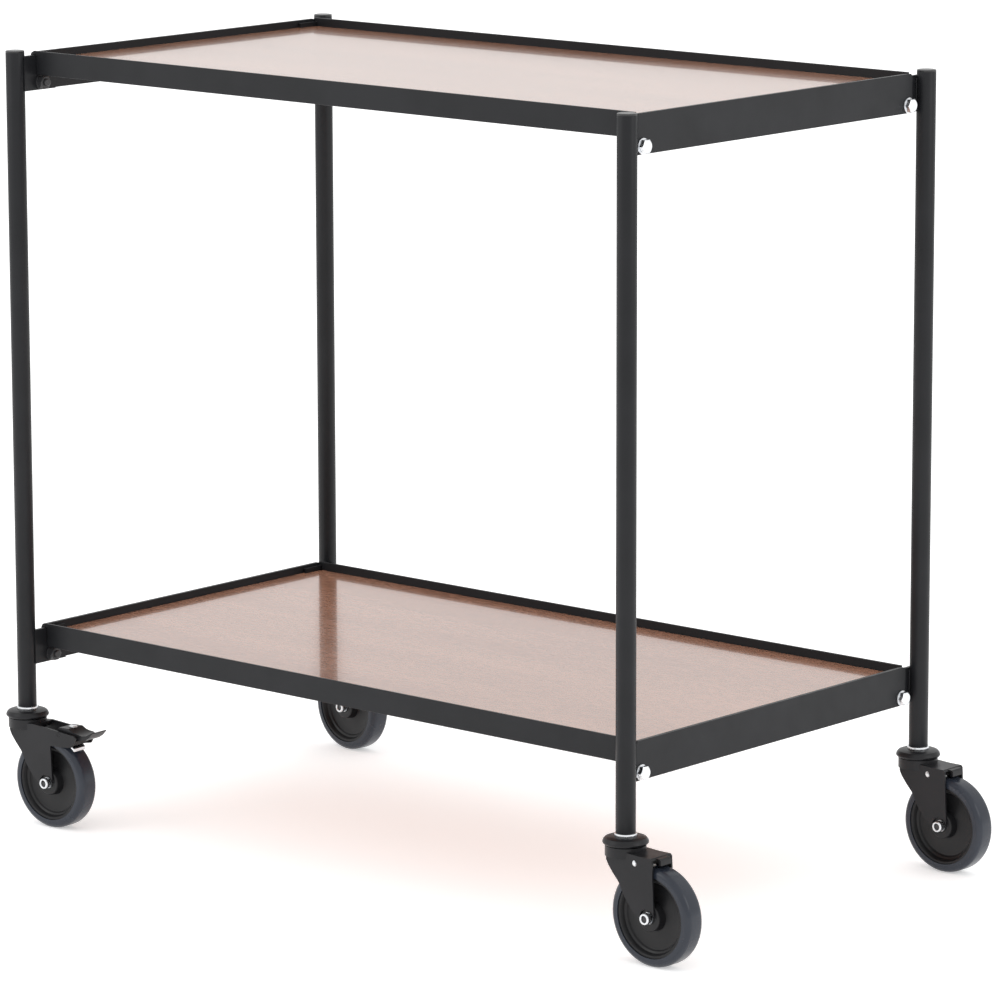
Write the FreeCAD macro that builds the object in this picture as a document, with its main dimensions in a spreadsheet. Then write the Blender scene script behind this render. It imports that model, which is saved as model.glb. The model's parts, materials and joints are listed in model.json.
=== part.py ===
import FreeCAD, Part
import math
import os

import Sketcher
from FreeCAD import Placement, Rotation, Vector

# Rolling utility cart: two wooden trays in angle-iron frames, bolted between four tube posts
# that stand on swivel castors.  Millimetres, +Z up, X along the long side, Y across.
# The front is -Y.  The castors trail towards +X, each a few degrees off.

DRIVING_DIMENSIONS = {
    # posts
    "post_spacing_x": 836, "post_spacing_y": 474, "post_outer": 20, "post_wall": 1.5,
    "post_bottom": 126.5, "cart_height": 831.5, "cap_thick": 2, "cap_plug_length": 12,
    # tray frames: long angle rails, flat end bars and the lugs that carry them on the posts
    "rail_inset": 19.6, "rail_leaf": 25, "rail_thick": 3, "rail_drop": 1.7, "tray_spacing": 615.4,
    "leaf_setback": 28, "bar_inset": 3, "bar_height": 40, "bar_thick": 4, "bar_drop": 1.2,
    "bar_corner": 4, "lug_thick": 4, "lug_reach": 48, "lug_drop": 3, "fit_gap": 0.4,
    # wooden boards and the ledges under their ends
    "board_thick": 13, "board_gap": 0.5, "ledge_width": 20, "ledge_end_gap": 10,
    # M8 fasteners
    "bolt_diameter": 8, "bolt_hole": 8.4, "bolt_reach": 26.5, "bolt_rise": 8.2, "bolt_length": 20,
    "hex_flats": 13, "head_thick": 5.3, "nut_thick": 6.5, "washer_outer": 16, "washer_thick": 1.6,
    # castor stem, collar and ball race
    "socket_length": 35, "thread_diameter": 10, "thread_length": 32, "flange_outer": 22.5,
    "flange_thick": 3, "kingpin_diameter": 12, "rivet_diameter": 16, "rivet_height": 4,
    "collar_outer": 46, "collar_flat": 34, "crown_top": 114.6, "race_gap": 0.5,
    "race_room": 0.4, "ball_diameter": 4.4, "ball_circle": 28, "ball_count": 14,
    # castor fork
    "trail": 40.5, "crown_outer": 41, "crown_thick": 3.5, "crown_skirt": 10.2, "skirt_thick": 3.2,
    "fork_sheet": 2, "fork_inner": 27, "roof_low": 108, "roof_end": 110.3, "leg_back": 46.5,
    "roof_from": 14, "roof_bend": 30, "roof_corner": 2, "leg_round": 9, "leg_hole": 6, "leg_hole_x": 24.1, "leg_hole_z": 102.4,
    "tongue_root": 40, "tongue_width": 16, "tongue_reach": 52, "tongue_drop": 7.3,
    # wheel and axle
    "wheel_diameter": 100, "tyre_width": 24, "tyre_shoulder": 6, "rim_diameter": 82, "rim_width": 22,
    "hub_diameter": 27, "hub_width": 26, "sleeve_outer": 12, "running_gap": 0.05,
    "axle_head_thick": 4.5, "axle_nut_thick": 5, "axle_end": 1,
    # brake on the two castors at the left end
    "brake_opening": 24, "brake_pin_x": 60, "brake_pin_z": 105.8, "brake_pin_diameter": 5,
    "pedal_width": 22, "shoe_gap": 2, "shoe_thick": 2.4, "shoe_width": 18,
    "shoe_start": 62, "shoe_length": 14, "screw_x": 67, "screw_diameter": 5, "screw_head": 9,
    "screw_head_thick": 1.2, "screw_seat": 113.1,
    # how far each castor has swivelled from straight along +X, in degrees
    "yaw_front_left": 2, "yaw_front_right": -1, "yaw_back_left": -6, "yaw_back_right": -1,
}

# corner name: side along X, side along Y, whether its castor has a brake
CORNERS = {
    "front_left": (-1, -1, True),
    "front_right": (1, -1, False),
    "back_left": (-1, 1, True),
    "back_right": (1, 1, False),
}
TRAYS = {"upper": 0, "lower": 1}

# Edges seen from the side, as (x, z) in a castor's frame.  The front of a fork leg, from the
# axle up:
LEG_FRONT = [(20.3, 56), (11.7, 67), (4.2, 80.5), (-3.7, 89), (-9, 95.5), (-12, 101)]
# a brake wing, from beside the crown over its top and round underneath to the leg:
WING_EDGE = [(22, 112), (48, 110.2), (82, 107.2), (84.8, 105.5), (84, 103.5), (79.4, 94.7),
             (72, 93.2), (60, 92.4), (47.3, 91.8)]
# the pedal, from its nose over the top to the upturned tip and back underneath:
PEDAL_EDGE = [(53, 101.8), (52.5, 108.5), (57, 112.6), (70, 113), (76, 110), (84, 108.4),
              (90, 107.6), (96, 108.8), (104.6, 113.2), (105.2, 112.5), (100, 107), (94.5, 103.4),
              (84, 101.5), (78, 99.6), (77, 95.2), (74.5, 95.8), (73.8, 99.8), (70, 101.3),
              (62, 101.8), (56, 101.8)]
# Edge of the dust collar from its flat top down, as (inset from its widest, drop).
COLLAR_EDGE = [(2, 1.8), (0.4, 3.8), (0, 5.9), (1.2, 7.4)]

doc = FreeCAD.newDocument("rolling_utility_cart")
sheet = doc.addObject("Spreadsheet::Sheet", "dims")
for row, (alias, number) in enumerate(DRIVING_DIMENSIONS.items(), start=1):
    sheet.set(f"A{row}", alias)
    sheet.set(f"B{row}", str(number))
    sheet.setAlias(f"B{row}", alias)
doc.recompute()

subparts = {}


def value(expression):
    """Number that an expression on the driving dimensions has now."""
    return float(sheet.evalExpression(expression))


def bind(item, **expressions):
    """Bind properties of a document object to expressions on the driving dimensions."""
    for name, expression in expressions.items():
        item.setExpression(name, expression)


def place(item, x="0", y="0", z="0", yaw="0"):
    """Put an object at a point, turned about the vertical."""
    turn = Rotation(Vector(0, 0, 1), value(yaw))
    item.Placement = Placement(Vector(value(x), value(y), value(z)), turn)


def keep(node, item):
    """Name a finished sub-part; its label is the node's name."""
    item.Label = node
    subparts[node] = item


def group(node, members):
    """Several separate solids that share one node."""
    compound = doc.addObject("Part::Compound", node)
    compound.Links = members
    keep(node, compound)


# ---- sketches and features inside a body ----

def new_body(name):
    return doc.addObject("PartDesign::Body", name)


def sketch_on(body, role, offset="0"):
    """Empty sketch on one of the body's own origin planes, moved along its normal."""
    plane = next(feature for feature in body.Origin.OriginFeatures if feature.Role == role)
    sketch = body.newObject("Sketcher::SketchObject", f"{body.Name}_sketch")
    sketch.AttachmentSupport = [(plane, "")]
    sketch.MapMode = "FlatFace"
    sketch.AttachmentOffset = Placement(Vector(0, 0, value(offset)), Rotation())
    return sketch


def fix_place(sketch, edge, end, x, y):
    """Constrain a point of an edge to a place given by two expressions."""
    for kind, expression in (("DistanceX", x), ("DistanceY", y)):
        number = sketch.addConstraint(Sketcher.Constraint(kind, edge, end, value(expression)))
        if "dims." in expression:
            sketch.setExpression(f"Constraints[{number}]", expression)


def limit_radius(sketch, edge, radius):
    """Constrain the radius of a circle or arc to an expression."""
    number = sketch.addConstraint(Sketcher.Constraint("Radius", edge, value(radius)))
    if "dims." in radius:
        sketch.setExpression(f"Constraints[{number}]", radius)


def outline(sketch, corners):
    """Closed outline through corners, each a pair of expressions.

    A corner with three more expressions starts an arc to the next corner: a point that the arc
    passes and its radius.
    """
    first = sketch.GeometryCount
    points = [Vector(value(corner[0]), value(corner[1]), 0) for corner in corners]
    ends = []
    for number, corner in enumerate(corners):
        start, finish = points[number], points[(number + 1) % len(points)]
        if len(corner) == 2:
            sketch.addGeometry(Part.LineSegment(start, finish), False)
            ends.append((1, 2))
            continue
        middle = Vector(value(corner[2]), value(corner[3]), 0)
        edge = sketch.addGeometry(Part.Arc(start, middle, finish), False)
        turned = sketch.Geometry[edge].StartPoint.distanceToPoint(start) > 1e-6
        ends.append((2, 1) if turned else (1, 2))
    for number in range(len(corners)):
        following = (number + 1) % len(corners)
        sketch.addConstraint(Sketcher.Constraint(
            "Coincident", first + number, ends[number][1], first + following, ends[following][0]))
    for number, corner in enumerate(corners):
        fix_place(sketch, first + number, ends[number][0], corner[0], corner[1])
        if len(corner) > 2:
            limit_radius(sketch, first + number, corner[4])


def rectangle(sketch, left, bottom, right, top):
    outline(sketch, [(left, bottom), (right, bottom), (right, top), (left, top)])


def circle(sketch, x, y, radius):
    """Circle at a place, its radius an expression."""
    centre = Vector(value(x), value(y), 0)
    number = sketch.addGeometry(Part.Circle(centre, Vector(0, 0, 1), value(radius)), False)
    fix_place(sketch, number, 3, x, y)
    limit_radius(sketch, number, radius)


def pad(body, sketch, length, symmetric=False, reverse=False):
    feature = body.newObject("PartDesign::Pad", f"{body.Name}_pad")
    feature.Profile = sketch
    feature.SideType = "Symmetric" if symmetric else "One side"
    feature.Reversed = reverse
    bind(feature, Length=length)
    sketch.Visibility = False
    return feature


def pocket(body, sketch, length=None, reverse=False):
    """Cut a sketch out of the body, through everything if no length is given."""
    doc.recompute()
    before = body.Shape.Volume
    feature = body.newObject("PartDesign::Pocket", f"{body.Name}_pocket")
    feature.Profile = sketch
    feature.Reversed = reverse
    if length is None:
        feature.SideType = "Symmetric"
        bind(feature, Length="2 * dims.post_spacing_x")
    else:
        feature.SideType = "One side"
        bind(feature, Length=length)
    doc.recompute()
    if body.Shape.Volume > before - 0.5:
        raise RuntimeError(f"a pocket in {body.Name} cuts nothing")
    return feature


def revolve(body, sketch):
    """Turn a sketch a full circle about its own vertical axis."""
    feature = body.newObject("PartDesign::Revolution", f"{body.Name}_turned")
    feature.Profile = sketch
    feature.ReferenceAxis = (sketch, ["V_Axis"])
    feature.Angle = 360
    return feature


def round_edges(body, radius, wanted):
    """Fillet the edges of the body's last feature that pass a test."""
    doc.recompute()
    last = body.Tip
    names = [f"Edge{number}" for number, edge in enumerate(last.Shape.Edges, start=1)
             if wanted(edge)]
    feature = body.newObject("PartDesign::Fillet", f"{body.Name}_fillet")
    feature.Base = (last, names)
    bind(feature, Radius=radius)
    return feature


# ---- simple solids ----

def round_bar(name, radius, length):
    item = doc.addObject("Part::Cylinder", name)
    bind(item, Radius=radius, Height=length)
    return item


def hex_bar(name, flats, length):
    item = doc.addObject("Part::Prism", name)
    item.Polygon = 6
    bind(item, Circumradius=f"({flats}) / sqrt(3)", Height=length)
    return item


def block(name, x_size, y_size, z_size):
    item = doc.addObject("Part::Box", name)
    bind(item, Length=x_size, Width=y_size, Height=z_size)
    return item


def joined(name, pieces):
    item = doc.addObject("Part::MultiFuse", name)
    item.Shapes = pieces
    return item


def less(name, base, tool):
    item = doc.addObject("Part::Cut", name)
    item.Base = base
    item.Tool = tool
    return item


# Places that several sub-parts share, as expressions.
POST_RADIUS = "dims.post_outer / 2"
POST_BORE = "(dims.post_outer / 2 - dims.post_wall)"
RAIL_FACE = "(dims.post_spacing_y / 2 - dims.rail_inset)"
BAR_FACE = "(dims.post_spacing_x / 2 - dims.bar_inset)"
BAR_INSIDE = "(dims.post_spacing_x / 2 - dims.bar_inset - dims.bar_thick)"
LUG_INSIDE = "(dims.post_spacing_x / 2 - dims.bar_inset - dims.bar_thick - dims.lug_thick)"
BOLT_Y = "(dims.post_spacing_y / 2 - dims.bolt_reach)"
HALF_TYRE = "dims.wheel_diameter / 2"


def rail_top(level):
    return f"(dims.cart_height - dims.rail_drop - {level} * dims.tray_spacing)"


def bar_top(level):
    return f"({rail_top(level)} - dims.bar_drop)"


def bolt_z(level):
    return f"({bar_top(level)} - dims.bar_height + dims.bolt_rise)"


def post_at(corner):
    side_x, side_y, _ = CORNERS[corner]
    return f"{side_x} * dims.post_spacing_x / 2", f"{side_y} * dims.post_spacing_y / 2"


# ---- posts, caps and sockets ----

def make_post(corner):
    body = new_body(f"post_{corner}")
    sketch = sketch_on(body, "XY_Plane")
    circle(sketch, "0", "0", POST_RADIUS)
    circle(sketch, "0", "0", POST_BORE)
    pad(body, sketch, "dims.cart_height - dims.cap_thick - dims.post_bottom")
    x, y = post_at(corner)
    place(body, x, y, "dims.post_bottom")
    keep(f"post_{corner}", body)


def make_cap(corner):
    """Plastic cap: a plug in the tube's mouth and a round head with a softened rim."""
    body = new_body(f"cap_{corner}")
    plug = sketch_on(body, "XY_Plane")
    circle(plug, "0", "0", POST_BORE)
    pad(body, plug, "dims.cap_plug_length", reverse=True)
    head = sketch_on(body, "XY_Plane")
    circle(head, "0", "0", POST_RADIUS)
    pad(body, head, "dims.cap_thick")
    round_edges(body, "dims.cap_thick * 0.6",
                lambda edge: edge.BoundBox.ZMin > value("dims.cap_thick") - 0.01)
    x, y = post_at(corner)
    place(body, x, y, "dims.cart_height - dims.cap_thick")
    return body


def make_socket(corner):
    """Steel insert in the foot of the tube, threaded for the castor's stem."""
    outside = round_bar(f"socket_{corner}_outside", POST_BORE, "dims.socket_length")
    bore = round_bar(f"socket_{corner}_bore", "dims.thread_diameter / 2", "dims.socket_length")
    socket = less(f"socket_{corner}", outside, bore)
    x, y = post_at(corner)
    place(socket, x, y, "dims.post_bottom")
    return socket


# ---- tray frames ----

def make_rail(tray, side_y):
    """Long angle rail.  Local frame: outer face on y = 0, inside is +y, top edge on z = 0."""
    name = f"{tray}_rail_{'front' if side_y < 0 else 'back'}"
    half = BAR_INSIDE
    body = new_body(name)
    section = sketch_on(body, "YZ_Plane")
    outline(section, [
        ("0", "0"), ("dims.rail_thick", "0"),
        ("dims.rail_thick", "dims.rail_thick - dims.rail_leaf"),
        ("dims.rail_leaf", "dims.rail_thick - dims.rail_leaf"),
        ("dims.rail_leaf", "-dims.rail_leaf"), ("0", "-dims.rail_leaf")])
    pad(body, section, f"2 * {half}", symmetric=True)
    setback = sketch_on(body, "XY_Plane")
    notch = sketch_on(body, "XZ_Plane")
    for side in (-1, 1):
        rectangle(setback, f"{side} * ({half} - dims.leaf_setback)", "dims.rail_thick",
                  f"{side} * ({half} + 1)", "dims.rail_leaf + 1")
        rectangle(notch, f"{side} * ({half} - dims.lug_thick - dims.fit_gap)", "-dims.rail_leaf - 1",
                  f"{side} * ({half} + 1)", "dims.fit_gap - dims.bar_drop - dims.lug_drop")
    pocket(body, setback)
    pocket(body, notch)
    place(body, "0", f"{side_y} * {RAIL_FACE}", rail_top(TRAYS[tray]), "0" if side_y < 0 else "180")
    keep(name, body)


def make_end_bar(tray, side_x):
    """Flat bar across the end.  Local frame: outer face on x = 0, top edge on z = 0."""
    name = f"{tray}_bar_{'left' if side_x < 0 else 'right'}"
    body = new_body(name)
    face = sketch_on(body, "YZ_Plane")
    rectangle(face, f"-{RAIL_FACE}", "-dims.bar_height", RAIL_FACE, "0")
    for side in (-1, 1):
        circle(face, f"{side} * {BOLT_Y}", "dims.bolt_rise - dims.bar_height", "dims.bolt_hole / 2")
    pad(body, face, "dims.bar_thick", reverse=True)
    round_edges(body, "dims.bar_corner",
                lambda edge: abs(edge.BoundBox.ZMin) < 0.01 and edge.BoundBox.YLength < 0.01)
    place(body, f"{side_x} * {BAR_FACE}", "0", bar_top(TRAYS[tray]), "0" if side_x > 0 else "180")
    keep(name, body)


def make_lug(tray, corner):
    """Plate welded to a post, which the end bar is bolted to.  Local origin on the post's axis."""
    side_x, side_y, _ = CORNERS[corner]
    body = new_body(f"{tray}_lug_{corner}")
    inner = "dims.bar_inset + dims.bar_thick"
    height = "dims.bar_height - dims.lug_drop"
    plate = sketch_on(body, "XY_Plane")
    rectangle(plate, f"-{side_x} * ({inner} + dims.lug_thick)", f"-{side_y} * dims.lug_reach",
              f"-{side_x} * ({inner})", f"-{side_y} * 3")
    pad(body, plate, height)
    seat = sketch_on(body, "XY_Plane")
    circle(seat, "0", "0", POST_RADIUS)
    pocket(body, seat)
    bore = sketch_on(body, "YZ_Plane")
    circle(bore, f"-{side_y} * dims.bolt_reach", "dims.bolt_rise", "dims.bolt_hole / 2")
    pocket(body, bore)
    x, y = post_at(corner)
    place(body, x, y, f"{bar_top(TRAYS[tray])} - dims.bar_height")
    return body


def make_board(tray):
    """Wooden board, notched at its corners for the lugs, with its top face on z = 0."""
    body = new_body(f"{tray}_board")
    end = f"({BAR_INSIDE} - dims.board_gap)"
    side = f"({RAIL_FACE} - dims.rail_thick - dims.board_gap)"
    notch_x = f"({LUG_INSIDE} - dims.board_gap)"
    notch_y = "(dims.post_spacing_y / 2 - dims.lug_reach - dims.board_gap)"
    quarter = [(end, notch_y), (notch_x, notch_y), (notch_x, side)]
    corners = [(x, y) for x, y in quarter]
    corners += [(f"-{x}", y) for x, y in reversed(quarter)]
    corners += [(f"-{x}", f"-{y}") for x, y in quarter]
    corners += [(x, f"-{y}") for x, y in reversed(quarter)]
    plan = sketch_on(body, "XY_Plane")
    outline(plan, corners)
    pad(body, plan, "dims.board_thick", reverse=True)
    top = f"{rail_top(TRAYS[tray])} - dims.rail_leaf + dims.rail_thick + dims.board_thick"
    place(body, "0", "0", top)
    keep(f"{tray}_board", body)


def make_ledge(tray, side_x):
    """Flat strip inside an end bar, level with the rails' lower leaves, under the board's end."""
    half = "(dims.post_spacing_y / 2 - dims.lug_reach - dims.ledge_end_gap)"
    strip = block(f"{tray}_ledge_{'left' if side_x < 0 else 'right'}",
                  "dims.ledge_width", f"2 * {half}", "dims.rail_thick")
    near = BAR_INSIDE if side_x < 0 else f"-({BAR_INSIDE} - dims.ledge_width)"
    place(strip, f"-{near}", f"-{half}", f"{rail_top(TRAYS[tray])} - dims.rail_leaf")
    return strip


# ---- tray bolts ----

def along_x(item, x, y, z, side_x):
    """Lay an object whose own axis is Z along X, pointing out of the cart at one end."""
    turn = Rotation(Vector(0, 1, 0), 90 * side_x)
    item.Placement = Placement(Vector(value(x), value(y), value(z)), turn)


def make_bolt(name, x, y, z, side_x):
    """M8 hexagon bolt; its head's underside is at the given place and its shank runs inwards."""
    head = hex_bar(f"{name}_head", "dims.hex_flats", "dims.head_thick")
    shank = round_bar(f"{name}_shank", "dims.bolt_diameter / 2", "dims.bolt_length + 1")
    shank.Placement = Placement(Vector(0, 0, -value("dims.bolt_length")), Rotation())
    bolt = joined(name, [head, shank])
    along_x(bolt, x, y, z, side_x)
    return bolt


def make_ring(name, blank, bore_radius, length):
    """A nut or washer: a blank less its bore."""
    bore = round_bar(f"{name}_bore", bore_radius, length)
    return less(name, blank, bore)


def make_tray_fasteners():
    bolts, washers, nuts = [], [], []
    for tray, level in TRAYS.items():
        for corner, (side_x, side_y, _) in CORNERS.items():
            name = f"{tray}_{corner}"
            y, z = f"{side_y} * {BOLT_Y}", bolt_z(level)
            outer_seat = f"{side_x} * ({BAR_FACE} + dims.washer_thick)"
            bolts.append(make_bolt(f"bolt_{name}", outer_seat, y, z, side_x))
            outer_face = f"{side_x} * {BAR_FACE}"
            inner_face = f"{side_x} * ({LUG_INSIDE} - dims.washer_thick)"
            for place_name, x in (("out", outer_face), ("in", inner_face)):
                washer_name = f"washer_{place_name}_{name}"
                disc = round_bar(f"{washer_name}_disc", "dims.washer_outer / 2", "dims.washer_thick")
                washer = make_ring(washer_name, disc, "dims.bolt_diameter / 2", "dims.washer_thick")
                along_x(washer, x, y, z, side_x)
                washers.append(washer)
            blank = hex_bar(f"nut_{name}_blank", "dims.hex_flats", "dims.nut_thick")
            nut = make_ring(f"nut_{name}", blank, "dims.bolt_diameter / 2", "dims.nut_thick")
            nut_face = f"{side_x} * ({LUG_INSIDE} - dims.washer_thick - dims.nut_thick)"
            along_x(nut, nut_face, y, z, side_x)
            nuts.append(nut)
    group("tray_bolts", bolts)
    group("tray_washers", washers)
    group("tray_nuts", nuts)


# ---- castors: local frame on the swivel axis at floor height, trailing towards +x ----

FORK_HALF = "(dims.fork_inner / 2 + dims.fork_sheet)"
AXLE_Z = "(dims.wheel_diameter / 2)"
COLLAR_TOP = "(dims.post_bottom - dims.flange_thick)"
COLLAR_FOOT = "(dims.crown_top + dims.race_gap)"
CROWN_FOOT = "(dims.crown_top - dims.crown_skirt)"
CROWN_UNDER = "(dims.crown_top - dims.crown_thick)"
KING_RADIUS = "dims.kingpin_diameter / 2"


def at_castor(item, corner):
    x, y = post_at(corner)
    place(item, x, y, "0", f"dims.yaw_{corner}")


def hub_place(corner):
    """Wheel centre of a castor, in the cart's frame."""
    x, y = post_at(corner)
    yaw = math.radians(value(f"dims.yaw_{corner}"))
    trail = value("dims.trail")
    return Vector(value(x) + trail * math.cos(yaw), value(y) + trail * math.sin(yaw), value(AXLE_Z))


def at_hub(item, corner):
    """Put an object with its own origin at the wheel's centre and its y axis along the axle."""
    turn = Rotation(Vector(0, 0, 1), value(f"dims.yaw_{corner}"))
    item.Placement = Placement(hub_place(corner), turn)


def make_stem(corner):
    """Kingpin, flange and threaded stem, turned from one bar; its foot is riveted over."""
    body = new_body(f"stem_{corner}")
    half = sketch_on(body, "XZ_Plane")
    rivet_top = f"{CROWN_UNDER} - dims.fit_gap"
    thread = "dims.thread_diameter / 2"
    outline(half, [
        ("0", f"{rivet_top} - dims.rivet_height"),
        ("dims.rivet_diameter / 2", f"{rivet_top} - dims.rivet_height"),
        ("dims.rivet_diameter / 2", rivet_top), (KING_RADIUS, rivet_top), (KING_RADIUS, COLLAR_TOP),
        ("dims.flange_outer / 2", COLLAR_TOP), ("dims.flange_outer / 2", "dims.post_bottom"),
        (thread, "dims.post_bottom"), (thread, "dims.post_bottom + dims.thread_length"),
        ("0", "dims.post_bottom + dims.thread_length")])
    revolve(body, half)
    at_castor(body, corner)
    return body


def make_collar(corner):
    """Fixed upper race and dust collar, hollow below for the balls."""
    body = new_body(f"castor_collar_{corner}")
    half = sketch_on(body, "XZ_Plane")
    race_top = f"{COLLAR_FOOT} + dims.ball_diameter + dims.race_room"
    race_in = "(dims.ball_circle - dims.ball_diameter) / 2 - 0.5"
    race_out = "(dims.ball_circle + dims.ball_diameter) / 2 + 0.5"
    widest = "dims.collar_outer / 2"
    bulge = [(f"{widest} - {inset}", f"{COLLAR_TOP} - {drop}") for inset, drop in COLLAR_EDGE]
    outline(half, [
        (KING_RADIUS, COLLAR_TOP), ("dims.collar_flat / 2", COLLAR_TOP), *bulge,
        ("dims.crown_outer / 2", COLLAR_FOOT), (race_out, COLLAR_FOOT), (race_out, race_top),
        (race_in, race_top), (race_in, COLLAR_FOOT), (KING_RADIUS, COLLAR_FOOT)])
    revolve(body, half)
    at_castor(body, corner)
    keep(f"castor_collar_{corner}", body)


def make_balls(corner):
    balls = []
    ring = value("dims.ball_circle / 2")
    height = value(f"{COLLAR_FOOT} + (dims.ball_diameter + dims.race_room) / 2")
    x, y = (value(place_part) for place_part in post_at(corner))
    count = int(value("dims.ball_count"))
    for number in range(count):
        angle = 2 * math.pi * number / count
        ball = doc.addObject("Part::Sphere", f"ball_{corner}_{number}")
        bind(ball, Radius="dims.ball_diameter / 2")
        centre = Vector(x + ring * math.cos(angle), y + ring * math.sin(angle), height)
        ball.Placement = Placement(centre, Rotation())
        balls.append(ball)
    return balls


def leg_outline(braked):
    """Side view of the pressed fork; its foot is an arc about the axle."""
    tail = "(dims.trail + dims.leg_round)"
    below_axle = ("dims.trail", f"{AXLE_Z} - dims.leg_round", "dims.leg_round")
    foot = [
        (tail, AXLE_Z, *below_axle),
        ("dims.trail - 0.6 * dims.leg_round", f"{AXLE_Z} - 0.8 * dims.leg_round")]
    front = [(str(x), str(z)) for x, z in LEG_FRONT]
    leg = foot + front + [(front[-1][0], CROWN_UNDER)]
    if braked:
        return leg + [("12", CROWN_UNDER)] + [(str(x), str(z)) for x, z in WING_EDGE]
    return leg + [
        ("dims.roof_from", CROWN_UNDER), ("dims.roof_bend", "dims.roof_end"),
        ("dims.leg_back - dims.roof_corner", "dims.roof_end"),
        ("dims.leg_back", "dims.roof_end - dims.roof_corner")]


def make_fork(corner, braked):
    """Pressed steel fork: two legs, a round crown and, over the wheel, a roof or brake wings."""
    name = f"castor_fork_{corner}"
    body = new_body(name)
    side = sketch_on(body, "XZ_Plane")
    outline(side, leg_outline(braked))
    pad(body, side, f"2 * {FORK_HALF}", symmetric=True)
    inside = sketch_on(body, "XY_Plane")
    rectangle(inside, "-dims.wheel_diameter", "-dims.fork_inner / 2",
              "dims.wheel_diameter", "dims.fork_inner / 2")
    pocket(body, inside, "dims.roof_low", reverse=True)
    if braked:
        between = sketch_on(body, "XY_Plane", "dims.roof_low - 1")
        rectangle(between, "dims.brake_opening", "-dims.fork_inner / 2", "dims.wheel_diameter", "dims.fork_inner / 2")
        pocket(body, between, "dims.wheel_diameter", reverse=True)
    crown = sketch_on(body, "XY_Plane", CROWN_UNDER)
    circle(crown, "0", "0", "dims.crown_outer / 2")
    pad(body, crown, f"dims.crown_top - {CROWN_UNDER}")
    skirt = sketch_on(body, "XY_Plane", CROWN_FOOT)
    circle(skirt, "0", "0", "dims.crown_outer / 2")
    circle(skirt, "0", "0", "dims.crown_outer / 2 - dims.skirt_thick")
    pad(body, skirt, f"{CROWN_UNDER} - {CROWN_FOOT}")
    if not braked:
        tongue = sketch_on(body, "XZ_Plane")
        outline(tongue, [
            ("dims.tongue_root", "dims.roof_low + 0.4"), ("dims.tongue_root", "dims.roof_end - 0.4"),
            ("dims.tongue_reach - 2", "dims.roof_end - 0.8"),
            ("dims.tongue_reach", "dims.roof_end - 2.6"),
            ("dims.tongue_reach", "dims.roof_end - dims.tongue_drop"),
            ("dims.tongue_reach - 2", "dims.roof_end - dims.tongue_drop"),
            ("dims.tongue_reach - 3", "dims.roof_low + 0.4")])
        pad(body, tongue, "dims.tongue_width", symmetric=True)
    rivet_room = sketch_on(body, "XY_Plane")
    circle(rivet_room, "0", "0", "dims.rivet_diameter / 2 + 1.5")
    pocket(body, rivet_room, CROWN_UNDER, reverse=True)
    king_bore = sketch_on(body, "XY_Plane")
    circle(king_bore, "0", "0", f"{KING_RADIUS} + dims.running_gap")
    pocket(body, king_bore)
    holes = sketch_on(body, "XZ_Plane")
    circle(holes, "dims.trail", AXLE_Z, "dims.bolt_diameter / 2")
    if braked:
        circle(holes, "dims.brake_pin_x", "dims.brake_pin_z", "dims.brake_pin_diameter / 2")
    else:
        circle(holes, "dims.leg_hole_x", "dims.leg_hole_z", "dims.leg_hole / 2")
    pocket(body, holes)
    at_castor(body, corner)
    keep(name, body)


def make_axle(corner):
    """Axle bolt, its nut and the spacer sleeve that the wheel turns on, clamped between the legs."""
    grip = f"2 * {FORK_HALF}"
    head = hex_bar(f"axle_{corner}_head", "dims.hex_flats", "dims.axle_head_thick")
    head.Placement = Placement(Vector(0, 0, value(FORK_HALF)), Rotation())
    nut_face = f"{FORK_HALF} + dims.axle_nut_thick"
    shank = round_bar(f"axle_{corner}_shank", "dims.bolt_diameter / 2",
                      f"{grip} + dims.axle_nut_thick + 2 * dims.axle_end")
    shank.Placement = Placement(Vector(0, 0, -value(f"{nut_face} + dims.axle_end")), Rotation())
    bolt = joined(f"axle_{corner}", [head, shank])
    blank = hex_bar(f"axle_nut_{corner}_blank", "dims.hex_flats", "dims.axle_nut_thick")
    nut = make_ring(f"axle_nut_{corner}", blank, "dims.bolt_diameter / 2", "dims.axle_nut_thick")
    spacer = round_bar(f"sleeve_{corner}_outside", "dims.sleeve_outer / 2", "dims.fork_inner")
    sleeve = make_ring(f"sleeve_{corner}", spacer, "dims.bolt_diameter / 2", "dims.fork_inner")
    # their own axis is Z; lay it along the castor's y axis, the nut on the -y side
    lay = Rotation(Vector(1, 0, 0), -90)
    turn = Rotation(Vector(0, 0, 1), value(f"dims.yaw_{corner}"))
    starts = {
        f"castor_axle_bolt_{corner}": (bolt, 0.0),
        f"castor_axle_nut_{corner}": (nut, -value(nut_face)),
        f"castor_axle_sleeve_{corner}": (sleeve, -value("dims.fork_inner / 2")),
    }
    for node, (item, start) in starts.items():
        item.Placement = Placement(
            hub_place(corner) + turn.multVec(Vector(0, start, 0)), turn * lay)
        keep(node, item)


def mirrored_profile(points):
    """Half outline in (radius, width) expressions, completed on the other side of the wheel."""
    return points + [(radius, f"-({width})") for radius, width in reversed(points)]


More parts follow.
